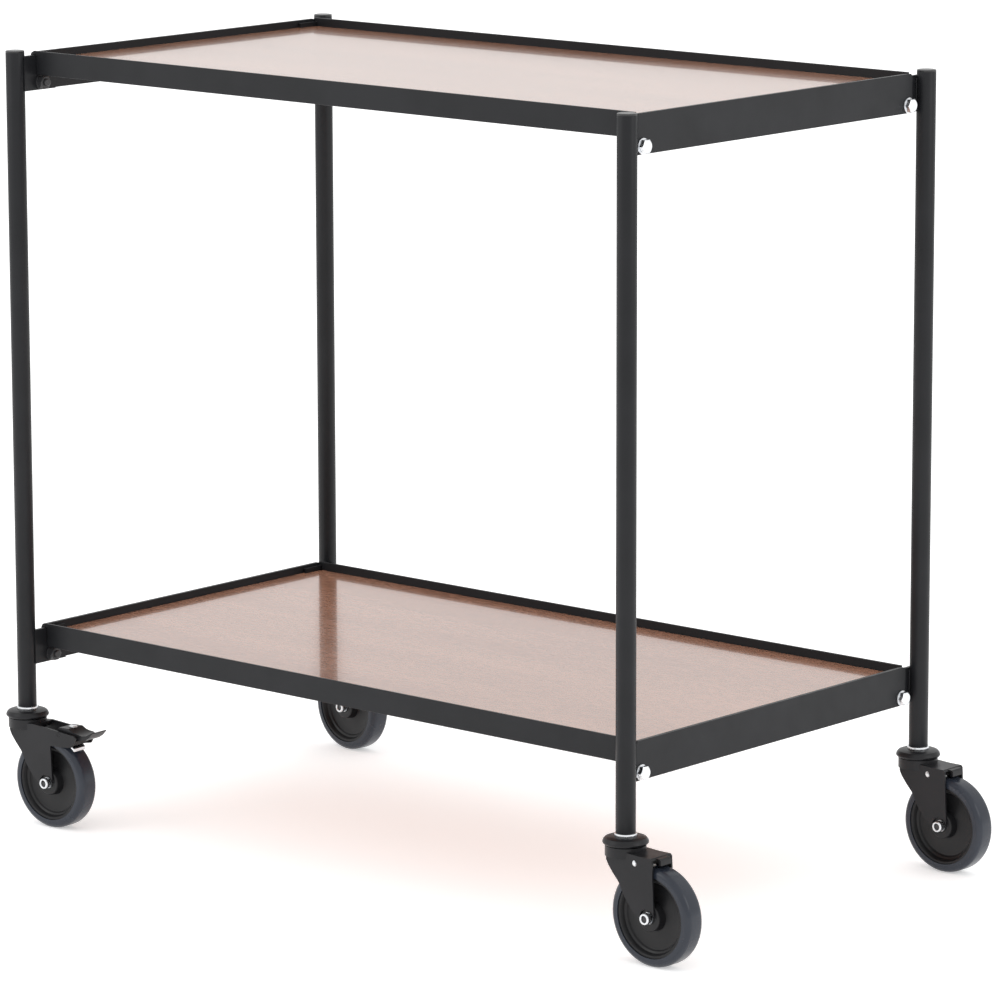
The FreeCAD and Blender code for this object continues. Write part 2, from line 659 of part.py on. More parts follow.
def make_rim(corner):
    """Moulded wheel centre: hub, dished web and the barrel that carries the tyre."""
    body = new_body(f"castor_rim_{corner}")
    section = sketch_on(body, "XY_Plane")
    hub, barrel = "dims.hub_diameter / 2", "dims.rim_diameter / 2"
    outline(section, mirrored_profile([
        ("dims.sleeve_outer / 2 + dims.running_gap", "dims.hub_width / 2"),
        (f"{hub} - 1", "dims.hub_width / 2"), (hub, "dims.hub_width / 2 - 1"), (f"{hub} + 1", "3"),
        (f"{barrel} - 10", "3"), (f"{barrel} - 9", "4.5"), (f"{barrel} - 5", "5.5"),
        (f"{barrel} - 3.6", "8"), (f"{barrel} - 3", "dims.rim_width / 2 - 0.8"),
        (f"{barrel} - 2.2", "dims.rim_width / 2"), (barrel, "dims.rim_width / 2")]))
    revolve(body, section)
    at_hub(body, corner)
    keep(f"castor_rim_{corner}", body)


def make_tyre(corner):
    """Rubber tyre with rounded shoulders, bonded on the rim."""
    body = new_body(f"castor_tyre_{corner}")
    section = sketch_on(body, "XY_Plane")
    rectangle(section, "dims.rim_diameter / 2", "-dims.tyre_width / 2",
              HALF_TYRE, "dims.tyre_width / 2")
    revolve(body, section)
    tread = value(HALF_TYRE)
    round_edges(body, "dims.tyre_shoulder",
                lambda edge: edge.BoundBox.XMax > tread - 0.1 and edge.BoundBox.YLength < 0.1)
    at_hub(body, corner)
    keep(f"castor_tyre_{corner}", body)


# ---- brakes of the two left castors, in the castor's frame ----

def make_brake(corner):
    """Pedal on a cross pin between the wings, with a shoe on an adjusting screw above the tyre."""
    pin_x, pin_z = "dims.brake_pin_x", "dims.brake_pin_z"
    pedal = new_body(f"brake_pedal_{corner}")
    side = sketch_on(pedal, "XZ_Plane")
    outline(side, [(str(x), str(z)) for x, z in PEDAL_EDGE])
    pad(pedal, side, "dims.pedal_width", symmetric=True)
    holes = sketch_on(pedal, "XZ_Plane")
    circle(holes, pin_x, pin_z, "dims.brake_pin_diameter / 2 + dims.running_gap")
    pocket(pedal, holes)
    screw_hole = sketch_on(pedal, "XY_Plane")
    circle(screw_hole, "dims.screw_x", "0", "dims.screw_diameter / 2 + 2 * dims.running_gap")
    pocket(pedal, screw_hole)
    at_castor(pedal, corner)
    keep(f"brake_pedal_{corner}", pedal)

    # The shoe is a strip bent to the tyre's curve, a small gap off the tread.
    inner = f"({HALF_TYRE} + dims.shoe_gap)"
    outer = f"({HALF_TYRE} + dims.shoe_gap + dims.shoe_thick)"
    ring = new_body(f"shoe_ring_{corner}")
    rings = sketch_on(ring, "XZ_Plane")
    circle(rings, "dims.trail", AXLE_Z, outer)
    circle(rings, "dims.trail", AXLE_Z, inner)
    pad(ring, rings, "dims.shoe_width", symmetric=True)
    window = block(f"shoe_window_{corner}", "dims.shoe_length", "dims.shoe_width", HALF_TYRE)
    place(window, "dims.shoe_start", "-dims.shoe_width / 2", "1.5 * dims.wheel_diameter / 2")
    shoe = doc.addObject("Part::MultiCommon", f"brake_shoe_{corner}")
    shoe.Shapes = [ring, window]
    at_castor(shoe, corner)
    keep(f"brake_shoe_{corner}", shoe)

    # The screw's foot stands just off the highest point of the shoe below it.
    near_edge = "(dims.screw_x - dims.screw_diameter / 2 - dims.trail)"
    foot = f"({AXLE_Z} + sqrt({outer}^2 - {near_edge}^2) + dims.running_gap)"
    shank = round_bar(f"brake_screw_{corner}_shank", "dims.screw_diameter / 2",
                      f"dims.screw_seat + 1 - {foot}")
    place(shank, "dims.screw_x", "0", foot)
    head = round_bar(f"brake_screw_{corner}_head", "dims.screw_head / 2", "dims.screw_head_thick")
    place(head, "dims.screw_x", "0", "dims.screw_seat")
    screw = joined(f"brake_screw_{corner}", [shank, head])
    at_castor(screw, corner)
    keep(f"brake_screw_{corner}", screw)

    pin = round_bar(f"brake_pin_{corner}", "dims.brake_pin_diameter / 2", f"2 * {FORK_HALF}")
    lay = Rotation(Vector(1, 0, 0), -90)
    turn = Rotation(Vector(0, 0, 1), value(f"dims.yaw_{corner}"))
    x, y = (value(place_part) for place_part in post_at(corner))
    start = turn.multVec(Vector(value(pin_x), -value(FORK_HALF), value(pin_z)))
    pin.Placement = Placement(Vector(x, y, 0) + start, turn * lay)
    keep(f"brake_pin_{corner}", pin)


# ---- build ----

for corner in CORNERS:
    make_post(corner)
group("post_caps", [make_cap(corner) for corner in CORNERS])
group("stem_sockets", [make_socket(corner) for corner in CORNERS])
for tray in TRAYS:
    for side in (-1, 1):
        make_rail(tray, side)
        make_end_bar(tray, side)
    make_board(tray)
group("post_lugs", [make_lug(tray, corner) for tray in TRAYS for corner in CORNERS])
group("end_ledges", [make_ledge(tray, side) for tray in TRAYS for side in (-1, 1)])
make_tray_fasteners()
group("castor_stems", [make_stem(corner) for corner in CORNERS])
group("castor_balls", [ball for corner in CORNERS for ball in make_balls(corner)])
for corner, (_, _, braked) in CORNERS.items():
    make_collar(corner)
    make_fork(corner, braked)
    make_axle(corner)
    make_rim(corner)
    make_tyre(corner)
    if braked:
        make_brake(corner)
doc.recompute()

# The cart's origin is the middle of its box at floor height, so everything moves by half the
# difference between its two ends.
boxes = [item.Shape.optimalBoundingBox(False, False) for item in subparts.values()]
middle = Vector((min(box.XMin for box in boxes) + max(box.XMax for box in boxes)) / 2,
                (min(box.YMin for box in boxes) + max(box.YMax for box in boxes)) / 2, 0)
for item in subparts.values():
    item.Placement = Placement(item.Placement.Base - middle, item.Placement.Rotation)
doc.recompute()

faulty = [item.Name for item in doc.Objects if {"Invalid", "Error"} & set(item.State)]
if faulty:
    raise RuntimeError(f"failed objects: {faulty}")
for node, item in subparts.items():
    if item.Shape.isNull() or not item.Shape.isValid() or not item.Shape.Solids:
        raise RuntimeError(f"{node} has no valid solid")

os.makedirs("parts", exist_ok=True)
for node, item in subparts.items():
    item.Shape.exportStep(f"parts/{node}.step")

print(len(subparts), "sub-parts; origin moved by", middle)
for corner in CORNERS:
    x, y = (value(place_part) for place_part in post_at(corner))
    hub = hub_place(corner) - middle
    print(corner, "swivel axis", round(x - middle.x, 3), round(y - middle.y, 3),
          "wheel centre", tuple(round(number, 3) for number in hub))
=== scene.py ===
import json
import math

import bmesh
import bpy
from mathutils import Matrix, Vector


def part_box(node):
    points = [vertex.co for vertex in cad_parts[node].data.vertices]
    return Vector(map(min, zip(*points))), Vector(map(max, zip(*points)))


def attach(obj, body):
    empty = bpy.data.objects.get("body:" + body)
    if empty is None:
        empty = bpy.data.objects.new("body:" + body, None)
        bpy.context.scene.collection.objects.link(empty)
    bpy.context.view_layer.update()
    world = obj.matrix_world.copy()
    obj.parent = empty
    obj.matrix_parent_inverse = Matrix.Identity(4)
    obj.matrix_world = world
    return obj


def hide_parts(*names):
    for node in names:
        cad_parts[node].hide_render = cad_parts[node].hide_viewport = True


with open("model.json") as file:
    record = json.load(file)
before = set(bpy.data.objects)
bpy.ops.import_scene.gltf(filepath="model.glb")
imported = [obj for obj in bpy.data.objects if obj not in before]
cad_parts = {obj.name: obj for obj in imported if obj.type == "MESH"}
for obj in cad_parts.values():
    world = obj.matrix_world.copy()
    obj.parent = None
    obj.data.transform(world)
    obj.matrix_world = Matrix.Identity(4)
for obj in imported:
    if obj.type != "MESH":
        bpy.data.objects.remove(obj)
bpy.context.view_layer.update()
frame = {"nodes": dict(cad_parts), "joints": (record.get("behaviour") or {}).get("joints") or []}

# A rolling utility cart: two lacquered boards in angle-iron frames, bolted between four tube
# posts on swivel castors.  Lengths are in metres, and millimetres are written as N * MM.

# ---- camera ----
# It stands in front and to the right, a little above the upper tray, and looks down slightly.

first_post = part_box("post_front_left")
last_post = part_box("post_back_right")
cart_middle = (first_post[0] + last_post[1]) / 2
camera_from_middle = Vector((3.7502, -4.2327, 0))
camera_height = 1.4702
camera_turn, camera_pitch, camera_roll = 0.7185, 0.1924, -0.0025
camera = bpy.data.objects.new("camera", bpy.data.cameras.new("camera"))
camera.data.sensor_width = 36
camera.data.lens = 198
camera.data.clip_end = 100
camera_place = Vector((cart_middle.x, cart_middle.y, camera_height)) + camera_from_middle
camera.matrix_world = (
    Matrix.Translation(camera_place) @ Matrix.Rotation(camera_turn, 4, "Z")
    @ Matrix.Rotation(math.pi / 2 - camera_pitch, 4, "X") @ Matrix.Rotation(camera_roll, 4, "Z"))
bpy.context.scene.collection.objects.link(camera)
bpy.context.scene.camera = camera

# ---- studio ----
# A white room, and two large soft lamps that shape the tubes and tyres.  The pale floor glows a
# little, so that it comes out white as well.

scene = bpy.context.scene
scene.view_settings.view_transform = "Standard"
scene.world = bpy.data.worlds.new("white_room")
scene.world.use_nodes = True
room = scene.world.node_tree.nodes["Background"]
room.inputs["Color"].default_value = (1, 1, 1, 1)
room.inputs["Strength"].default_value = 1.04


lamps_aim = Vector((0, 0, 0.4))


def soft_lamp(name, place, size, power):
    """Square lamp of a size in metres and a power in watts, aimed at the cart."""
    lamp = bpy.data.objects.new(name, bpy.data.lights.new(name, "AREA"))
    lamp.data.size = size
    lamp.data.energy = power
    lamp.location = place
    lamp.rotation_euler = (lamps_aim - lamp.location).to_track_quat("-Z", "Y").to_euler()
    scene.collection.objects.link(lamp)


soft_lamp("key_lamp", Vector((-1.6, -2.8, 2.2)), 1.8, 15)
soft_lamp("side_lamp", Vector((3.4, 0.6, 1.8)), 1.6, 13)


def node_material(name, metallic=0.0, roughness=0.5, ior=1.5):
    """New material: its node tree, its surface shader and the object's own coordinates."""
    material = bpy.data.materials.new(name)
    material.use_nodes = True
    tree = material.node_tree
    shader = tree.nodes["Principled BSDF"]
    shader.inputs["Metallic"].default_value = metallic
    shader.inputs["Roughness"].default_value = roughness
    shader.inputs["IOR"].default_value = ior
    return material, tree, shader, tree.nodes.new("ShaderNodeTexCoord").outputs["Object"]


floor_mesh = bpy.data.meshes.new("floor")
floor_form = bmesh.new()
bmesh.ops.create_grid(floor_form, x_segments=1, y_segments=1, size=30)
floor_form.to_mesh(floor_mesh)
floor_form.free()
floor = bpy.data.objects.new("floor", floor_mesh)
floor_paint, _, floor_shader, _ = node_material("floor_paint", roughness=1)
floor_shader.inputs["Base Color"].default_value = (0.93, 0.93, 0.93, 1)
floor_shader.inputs["Specular IOR Level"].default_value = 0
floor_shader.inputs["Emission Color"].default_value = (1, 1, 1, 1)
floor_shader.inputs["Emission Strength"].default_value = 0.4
floor.data.materials.append(floor_paint)
scene.collection.objects.link(floor)

# ---- posts ----
# Four 20 mm steel tubes, 1.5 mm thick, powder coated charcoal.  They carry everything else:
# the tray frames are bolted to lugs on them, and a castor screws into each foot.

MM = 0.001
CORNERS = ("front_left", "front_right", "back_left", "back_right")
tube_radius, tube_bore, tube_edge = 10 * MM, 8.5 * MM, 0.25 * MM
round_steps = 64
sharp_angle = math.radians(28)


def noise(tree, coordinates, size, detail=4, stretch=(1, 1, 1)):
    """Noise whose grains are about `size` metres across, stretched along some axes."""
    mapping = tree.nodes.new("ShaderNodeMapping")
    mapping.inputs["Scale"].default_value = stretch
    tree.links.new(coordinates, mapping.inputs["Vector"])
    texture = tree.nodes.new("ShaderNodeTexNoise")
    texture.inputs["Scale"].default_value = 1 / size
    texture.inputs["Detail"].default_value = detail
    tree.links.new(mapping.outputs["Vector"], texture.inputs["Vector"])
    return texture.outputs["Fac"]


def shades(tree, pattern, *stops):
    """Colours along a pattern, as (place, red, green, blue) stops."""
    ramp = tree.nodes.new("ShaderNodeValToRGB")
    elements = ramp.color_ramp.elements
    for number, (place, *colour) in enumerate(stops):
        stop = elements[number] if number < 2 else elements.new(place)
        stop.position = place
        stop.color = (*colour, 1)
    tree.links.new(pattern, ramp.inputs["Fac"])
    return ramp.outputs["Color"]


def relief(tree, shader, pattern, depth, strength=0.4):
    """Raise a pattern from the surface by a depth in metres."""
    bump = tree.nodes.new("ShaderNodeBump")
    bump.inputs["Distance"].default_value = depth
    bump.inputs["Strength"].default_value = strength
    tree.links.new(pattern, bump.inputs["Height"])
    tree.links.new(bump.outputs["Normal"], shader.inputs["Normal"])


def spread(tree, pattern, low, high):
    """A pattern brought between two numbers."""
    node = tree.nodes.new("ShaderNodeMapRange")
    node.inputs["From Min"].default_value = 0.3
    node.inputs["From Max"].default_value = 0.7
    node.inputs["To Min"].default_value = low
    node.inputs["To Max"].default_value = high
    tree.links.new(pattern, node.inputs["Value"])
    return node.outputs["Result"]


def coated(name, dark, light, rough, grain, depth, gloss_level=0.5):
    """A paint, plastic or rubber: two near shades, a fine skin and uneven gloss."""
    shade_size, gloss_size = 0.06, 0.02
    material, tree, shader, here = node_material(name)
    shader.inputs["Specular IOR Level"].default_value = gloss_level
    cloud = noise(tree, here, shade_size, 3)
    skin = noise(tree, here, grain, 3)
    tree.links.new(shades(tree, cloud, (0.35, *dark), (0.65, *light)), shader.inputs["Base Color"])
    gloss = spread(tree, noise(tree, here, gloss_size, 5), rough - 0.04, rough + 0.05)
    tree.links.new(gloss, shader.inputs["Roughness"])
    relief(tree, shader, skin, depth)
    return material


powder_coat = coated("powder_coat", (0.011, 0.0115, 0.013), (0.014, 0.0145, 0.0165), 0.4, 0.0006, 0.00004,
                     gloss_level=0.22)


def turned(profile, steps=round_steps):
    """Solid turned about Z from a closed profile of (radius, height) in millimetres."""
    form = bmesh.new()
    ring = [form.verts.new((radius * MM, 0, height * MM)) for radius, height in profile]
    for start, end in zip(ring, ring[1:] + ring[:1]):
        form.edges.new((start, end))
    bmesh.ops.spin(form, geom=form.verts[:] + form.edges[:], cent=(0, 0, 0), axis=(0, 0, 1),
                   angle=2 * math.pi, steps=steps, use_merge=True)
    bmesh.ops.remove_doubles(form, verts=form.verts, dist=0.01 * MM)
    bmesh.ops.dissolve_degenerate(form, edges=form.edges, dist=0.001 * MM)
    loose = [edge for edge in form.edges if not edge.link_faces]
    bmesh.ops.delete(form, geom=loose, context="EDGES")
    bmesh.ops.recalc_face_normals(form, faces=form.faces)
    return form


def soften(form, width, segments=2, wanted=lambda edge: True):
    """Round the sharp edges."""
    sharp = [edge for edge in form.edges
             if len(edge.link_faces) == 2 and edge.calc_face_angle() > sharp_angle and wanted(edge)]
    bmesh.ops.bevel(form, geom=sharp, offset=width, offset_type="OFFSET", segments=segments,
                    profile=0.5, affect="EDGES", clamp_overlap=True, material=-1)
    return form


def gather(target, form, place):
    """Add a form to another, put in place."""
    form.transform(place)
    passing = bpy.data.meshes.new("passing")
    form.to_mesh(passing)
    form.free()
    target.from_mesh(passing)
    bpy.data.meshes.remove(passing)


def finished(name, form, material, body, slot, *nodes, flat_sided=False):
    """Make a form the visible piece that rides on a body, in place of some CAD nodes.

    A flat-sided piece shades its large faces flat and only its rounded edges smooth.
    """
    mesh = bpy.data.meshes.new(name)
    form.to_mesh(mesh)
    form.free()
    mesh.polygons.foreach_set("use_smooth", [True] * len(mesh.polygons))
    mesh.set_sharp_from_angle(angle=sharp_angle)
    mesh.materials.append(material)
    piece = bpy.data.objects.new(name, mesh)
    scene.collection.objects.link(piece)
    if flat_sided:
        even = piece.modifiers.new("even_faces", "WEIGHTED_NORMAL")
        even.keep_sharp = True
        even.weight = 80
    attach(piece, body)
    if nodes:
        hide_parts(*nodes)
    return piece


def upright(node_box):
    """Middle of a box, at floor height."""
    middle = (node_box[0] + node_box[1]) / 2
    return Vector((middle.x, middle.y, 0))


post_axis = {corner: upright(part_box(f"post_{corner}")) for corner in CORNERS}
outer, inner = tube_radius / MM, tube_bore / MM
for corner in CORNERS:
    low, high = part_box(f"post_{corner}")
    foot, top = low.z / MM, high.z / MM
    tube = soften(turned([(inner, foot), (outer, foot), (outer, top), (inner, top)]), tube_edge)
    tube.transform(Matrix.Translation(post_axis[corner]))
    finished(f"tube_{corner}", tube, powder_coat, "root", "frame_paint", f"post_{corner}")

# ---- post caps ----
# Moulded black plastic caps, pushed into the open top of each tube.  The rim is rounded and the
# top is very slightly crowned.

cap_plastic = coated("cap_plastic", (0.013, 0.013, 0.014), (0.018, 0.018, 0.019), 0.28, 0.001, 0.00003)
cap_seat, cap_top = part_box("post_front_left")[1].z / MM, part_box("post_caps")[1].z / MM
plug_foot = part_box("post_caps")[0].z / MM
plug_radius = inner - 0.1
caps = bmesh.new()
for corner in CORNERS:
    cap = turned([(0, plug_foot), (plug_radius, plug_foot), (plug_radius, cap_seat), (outer, cap_seat),
                  (outer, cap_top - 0.9), (9.7, cap_top - 0.4), (9, cap_top - 0.1), (6, cap_top),
                  (0, cap_top)])
    gather(caps, cap, Matrix.Translation(post_axis[corner]))
finished("tube_caps", caps, cap_plastic, "root", "cap_plastic", "post_caps")

# ---- rails, end bars and lugs ----
# Hot-rolled 25 mm angle for the long rails and 40 mm flat bar across the ends, with the small
# rounded edges of rolled steel, coated with the posts' powder.  The lugs are welded to the posts.

TRAYS = ("upper", "lower")
rolled_edge = 0.6 * MM


def merged_copy(node):
    """The CAD node's shape as clean faces, ready to be rounded."""
    form = bmesh.new()
    form.from_mesh(frame["nodes"][node].data)
    bmesh.ops.remove_doubles(form, verts=form.verts, dist=0.002 * MM)
    bmesh.ops.dissolve_limit(form, angle_limit=math.radians(0.6), verts=form.verts,
                             edges=form.edges, delimit={"NORMAL"})
    return form


for tray in TRAYS:
    for part in ("rail_front", "rail_back", "bar_left", "bar_right"):
        node = f"{tray}_{part}"
        steel = soften(merged_copy(node), rolled_edge, 3)
        finished(f"steel_{node}", steel, powder_coat, "root", "frame_paint", node, flat_sided=True)
for node, width in (("post_lugs", 0.5 * MM), ("end_ledges", 0.4 * MM)):
    steel = soften(merged_copy(node), width)
    finished(f"steel_{node}", steel, powder_coat, "root", "frame_paint", node, flat_sided=True)

# ---- weld beads ----
# A short run of fillet weld down each lug where it meets its post, under the powder coat.  The
# bead is a row of overlapping ripples.

ripple_radius, ripple_pitch, ripple_count = 1.7 * MM, 2.3 * MM, 14
ripple_stretch = (0.8, 1, 1.15)
lug_face = 7 * MM
first_ripple_rise = 3 * MM
bead_off_axis = math.sqrt(tube_radius ** 2 - lug_face ** 2) + 0.5 * MM
beads = bmesh.new()
for tray in TRAYS:
    for corner in CORNERS:
        side_x = -1 if "left" in corner else 1
        side_y = -1 if "front" in corner else 1
        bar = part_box(f"{tray}_bar_{'left' if side_x < 0 else 'right'}")
        at = post_axis[corner] - Vector((side_x * (lug_face - 0.4 * MM), side_y * bead_off_axis, 0))
        for number in range(ripple_count):
            ripple = bmesh.new()
            bmesh.ops.create_icosphere(ripple, subdivisions=2, radius=ripple_radius)
            bmesh.ops.scale(ripple, vec=ripple_stretch, verts=ripple.verts)
            height = bar[0].z + first_ripple_rise + number * ripple_pitch
            gather(beads, ripple, Matrix.Translation((at.x, at.y, height)))
finished("weld_beads", beads, powder_coat, "root", "frame_paint")

# ---- boards ----
# Mahogany-veneered boards, 13 mm thick, with a clear semi-gloss lacquer.  They drop between the
# rails and lie on their lower leaves; their edges are just broken.

wood, wood_tree, wood_shader, wood_here = node_material("lacquered_mahogany", roughness=0.2, ior=1.45)
wood_shader.inputs["Coat Weight"].default_value = 0.55
wood_shader.inputs["Coat Roughness"].default_value = 0.05
wood_shader.inputs["Coat IOR"].default_value = 1.5
figure = noise(wood_tree, wood_here, 0.09, 6, (0.16, 1, 1))
pores = noise(wood_tree, wood_here, 0.004, 6, (0.4, 1, 1))
figure_colour = shades(wood_tree, figure, (0.3, 0.33, 0.15, 0.09), (0.7, 0.46, 0.23, 0.15),
                       (0.5, 0.39, 0.19, 0.12))
pore_colour = shades(wood_tree, pores, (0.36, 0.78, 0.75, 0.72), (0.58, 1, 1, 1))
wood_mix = wood_tree.nodes.new("ShaderNodeMix")
wood_mix.data_type = "RGBA"
wood_mix.blend_type = "MULTIPLY"
wood_mix.inputs["Factor"].default_value = 1
wood_tree.links.new(figure_colour, wood_mix.inputs[6])
wood_tree.links.new(pore_colour, wood_mix.inputs[7])
wood_tree.links.new(wood_mix.outputs[2], wood_shader.inputs["Base Color"])
relief(wood_tree, wood_shader, pores, 0.00018, 0.7)

broken_edge = 0.8 * MM
for tray in TRAYS:
    board = soften(merged_copy(f"{tray}_board"), broken_edge)
    finished(f"wood_{tray}_board", board, wood, "root", "tray_wood", f"{tray}_board", flat_sided=True)

# ---- tray bolts, washers and nuts ----
# Zinc-plated M8 hexagon bolts through each end bar and lug, with a washer at both ends.  The
# heads and nuts have the usual 30 degree chamfer.  The nuts, thread tips and inner washers sit in
# the shade inside the frame and are coloured dark, partly as painted shade.

zinc, zinc_tree, zinc_shader, zinc_here = node_material("zinc_plate", metallic=1, roughness=0.28)
zinc_cloud = noise(zinc_tree, zinc_here, 0.006, 3)
zinc_tint = shades(zinc_tree, zinc_cloud, (0.3, 0.7, 0.72, 0.75), (0.7, 0.84, 0.85, 0.86))
zinc_tree.links.new(zinc_tint, zinc_shader.inputs["Base Color"])
zinc_tree.links.new(spread(zinc_tree, zinc_cloud, 0.2, 0.38), zinc_shader.inputs["Roughness"])
relief(zinc_tree, zinc_shader, noise(zinc_tree, zinc_here, 0.0008), 0.000008)

# Dark steel colour, partly painted shade: it is used for the nuts, thread tips and inner washers inside the
# frame, and for the axle bolts, whose ends show as painted shade inside the nut collars.
dark_steel = coated("dark_steel", (0.018, 0.018, 0.02), (0.03, 0.03, 0.032), 0.36, 0.0007, 0.00002)


def hexagon(flats, height):
    """Hexagon along Z from 0 up, its upper corners chamfered to a circle."""
    form = bmesh.new()
    chamfer_circle = 0.47 * flats
    bmesh.ops.create_circle(form, cap_ends=True, segments=6, radius=flats / math.sqrt(3))
    bmesh.ops.subdivide_edges(form, edges=form.edges[:], cuts=5)
    grown = bmesh.ops.extrude_face_region(form, geom=form.faces[:])
    crown = [item for item in grown["geom"] if isinstance(item, bmesh.types.BMVert)]
    for vert in crown:
        reach = vert.co.xy.length
        vert.co.z = height - (reach - chamfer_circle) * math.tan(math.radians(30))
    lid = [face for face in form.faces if all(vert in crown for vert in face.verts)]
    raised = bmesh.ops.extrude_face_region(form, geom=lid)
    bmesh.ops.delete(form, geom=lid, context="FACES_ONLY")
    for item in raised["geom"]:
        if isinstance(item, bmesh.types.BMVert):
            item.co.xy = item.co.xy.normalized() * chamfer_circle
            item.co.z = height
    bmesh.ops.recalc_face_normals(form, faces=form.faces)
    return form


def outward(x, y, z, side_x):
    """Place for a fastener whose Z axis is to point out of the cart's end."""
    return Matrix.Translation((x, y, z)) @ Matrix.Rotation(side_x * math.pi / 2, 4, "Y")


bolt_reach, bolt_rise = 26.5 * MM, 8.2 * MM
bar_thick, lug_thick, washer_thick = 4 * MM, 4 * MM, 1.6 * MM
hex_flats, head_thick, nut_thick = 13 * MM, 5.3 * MM, 6.5 * MM
bolt_length, bright_length = 20, 17
ring_thick = washer_thick / MM
bolts, washers, inner_washers, nuts = bmesh.new(), bmesh.new(), bmesh.new(), bmesh.new()
for tray in TRAYS:
    for corner in CORNERS:
        side_x = -1 if "left" in corner else 1
        side_y = -1 if "front" in corner else 1
        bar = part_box(f"{tray}_bar_{'left' if side_x < 0 else 'right'}")
        face = bar[1].x if side_x > 0 else bar[0].x
        y = post_axis[corner].y - side_y * bolt_reach
        z = bar[0].z + bolt_rise
        inside = face - side_x * (bar_thick + lug_thick)
        seat = face + side_x * washer_thick
        gather(bolts, hexagon(hex_flats, head_thick), outward(seat, y, z, side_x))
        shank = turned([(0, -bright_length), (4, -bright_length), (4, 0.1), (0, 0.1)], 32)
        gather(bolts, shank, outward(seat, y, z, side_x))
        # The thread tip is built with the nuts and takes their dark colour, partly painted shade.
        tip = turned([(0, -bolt_length), (3.4, -bolt_length), (4, 0.6 - bolt_length),
                      (4, -bright_length), (0, -bright_length)], 32)
        gather(nuts, tip, outward(seat, y, z, side_x))
        for start, stack in ((face, washers), (inside - side_x * washer_thick, inner_washers)):
            washer = soften(turned([(4.1, 0), (8, 0), (8, ring_thick), (4.1, ring_thick)], 40), 0.2 * MM)
            gather(stack, washer, outward(start, y, z, side_x))
        nut_seat = inside - side_x * washer_thick
        gather(nuts, hexagon(hex_flats, nut_thick), outward(nut_seat, y, z, -side_x))
finished("hex_bolts", bolts, zinc, "root", "zinc", "tray_bolts")
finished("flat_washers", washers, zinc, "root", "zinc", "tray_washers")
# The inner washers and nuts take the dark colour, which is partly painted shade for where they sit inside
# the frame.
finished("inner_washers", inner_washers, dark_steel, "root", "dark_steel", "tray_washers")
finished("hex_nuts", nuts, dark_steel, "root", "dark_steel", "tray_nuts")

# ---- castor stems, sockets and balls ----
# Bright zinc stems with a flange that shows as a thin ring under each tube.  The sockets and
# bearing balls are plain bright steel inside.

stems = bmesh.new()
flange_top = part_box("post_front_left")[0].z / MM
flange_radius, flange_thick = 11.25, 3
flange_foot = flange_top - flange_thick
rivet_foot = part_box("castor_stems")[0].z / MM
stem_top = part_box("castor_stems")[1].z / MM
for corner in CORNERS:
    stem = turned([(0, rivet_foot), (7, rivet_foot), (8, rivet_foot + 1.2), (8, rivet_foot + 4),
                   (6, rivet_foot + 4), (6, flange_foot), (flange_radius, flange_foot),
                   (flange_radius, flange_top), (5, flange_top), (5, stem_top), (0, stem_top)])
    gather(stems, soften(stem, 0.3 * MM), Matrix.Translation(post_axis[corner]))
finished("bright_stems", stems, zinc, "root", "zinc", "castor_stems")
for node in ["stem_sockets", "castor_balls"] + [f"castor_axle_sleeve_{corner}" for corner in CORNERS]:
    frame["nodes"][node].data.materials.clear()
    frame["nodes"][node].data.materials.append(zinc)

# ---- castor collars ----
# Black pressed dust collars over the ball race.  They are fixed to the stem, and bulge out
# below the flange.

castor_black = coated("castor_black", (0.009, 0.009, 0.0105), (0.013, 0.013, 0.015), 0.36, 0.0012, 0.00005,
                      gloss_level=0.28)
for corner in CORNERS:
    low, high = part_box(f"castor_collar_{corner}")
    top, foot = high.z / MM, low.z / MM
    collar = turned([
        (6, top), (16.5, top), (20.6, top - 1.5), (22.3, top - 3.4), (23, top - 5.7),
        (22.6, top - 6.8), (21.6, top - 7.7), (20.5, foot), (16.7, foot), (16.7, foot + 4.8),
        (11.3, foot + 4.8), (11.3, foot), (6, foot)], 96)
    collar.transform(Matrix.Translation(post_axis[corner]))
    finished(f"dust_collar_{corner}", collar, castor_black, "root", "castor_paint",
             f"castor_collar_{corner}")

# ---- castor forks ----
# Pressed steel forks, painted satin black, with rounded press edges.  The two without a brake
# have a bright rivet in the near leg's hole; the far leg's hole is open.

joints = {joint["name"]: joint for joint in frame["joints"]}


def castor_place(corner):
    """The castor's own frame: on its swivel axis at floor height, trailing towards +x."""
    axle = joints[f"roll_{corner}"]["axis"]
    yaw = math.atan2(-axle[0], axle[1])
    return Matrix.Translation(post_axis[corner]) @ Matrix.Rotation(yaw, 4, "Z")


def across(x, z, corner):
    """Place for a piece whose Z axis is to lie along the castor's y axis, through (x, z)."""
    lay = Matrix.Rotation(-math.pi / 2, 4, "X")
    return castor_place(corner) @ Matrix.Translation((x, 0, z)) @ lay


fork_half = 15.5
pressed_edge = 0.45 * MM
cross_hole = (24.1 * MM, 102.4 * MM)
for corner in CORNERS:
    fork = soften(merged_copy(f"castor_fork_{corner}"), pressed_edge)
    finished(f"pressed_fork_{corner}", fork, castor_black, f"fork_{corner}", "castor_paint",
             f"castor_fork_{corner}", flat_sided=True)
    if "left" in corner:
        continue
    rivet = turned([(0, -16.1), (1.4, -15.9), (2.2, -15.5), (2.4, -14.9), (3, -14.9), (3, -13.5),
                    (0, -13.5)], 32)
    rivet.transform(across(*cross_hole, corner))
    finished(f"fork_rivet_{corner}", rivet, zinc, f"fork_{corner}", "zinc")

# ---- axles ----
# M8 axle bolts with the head on one side of the fork and a zinc nut on the other.  The whole bolt
# is coloured dark: its end sits just inside the nut's round collar, and there the dark is painted shade.

axle_head_thick = 4.5 * MM
end_past_fork = 3.6


